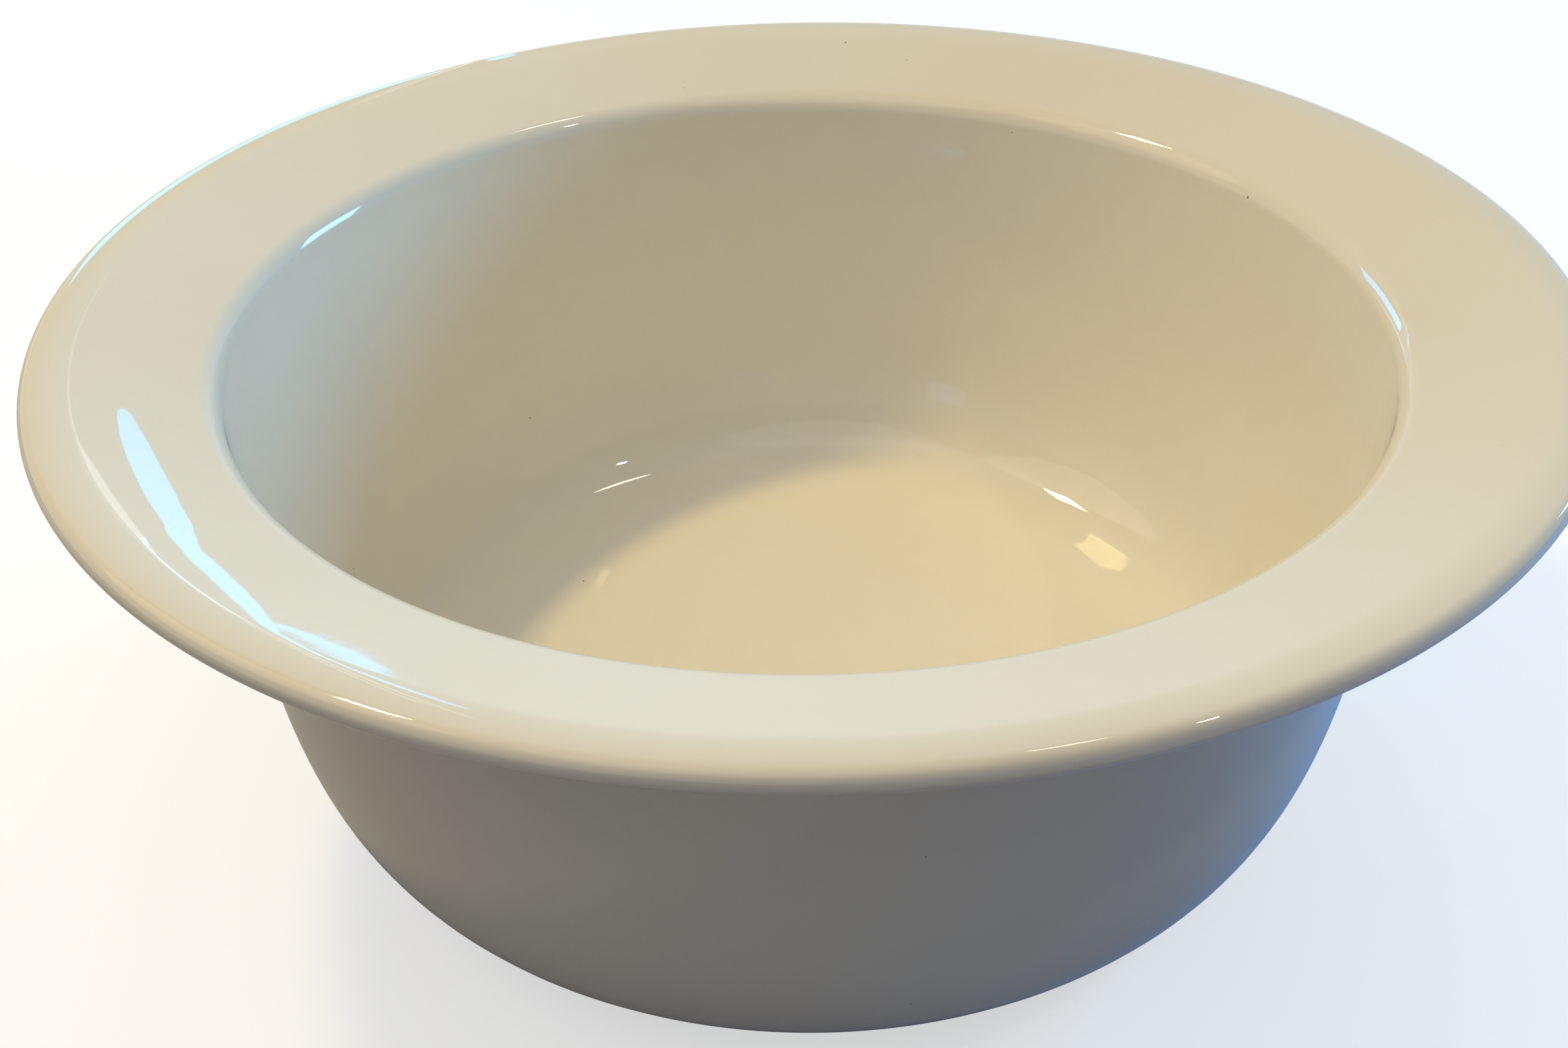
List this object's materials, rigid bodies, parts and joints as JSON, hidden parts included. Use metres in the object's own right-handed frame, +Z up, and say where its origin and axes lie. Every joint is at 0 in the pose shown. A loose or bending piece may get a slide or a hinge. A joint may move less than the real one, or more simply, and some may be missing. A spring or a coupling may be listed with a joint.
{
  "type": "serving bowl",
  "caption": "Deep round serving bowl in glossy off-white glazed ware, with a broad climbing rim, a rounded lip and a low foot ring.",
  "frame": {"origin": "middle of the foot ring, on the surface that the bowl stands on", "axes": "+Z up along the bowl's axis, X and Y level; the bowl is round, so +Y is any direction across it"},
  "size_m": [0.3, 0.3, 0.117],
  "materials": {
    "bare_clay": "fired clay, dry and slightly rough, left bare on the foot ring",
    "ivory_glaze": "glossy off-white glaze, faintly wavy, with a few fine dark specks"
  },
  "bodies": {
    "root": {"clay_body": "bare_clay", "glaze_coat": "ivory_glaze", "base_glaze": "ivory_glaze"}
  },
  "joints": []
}
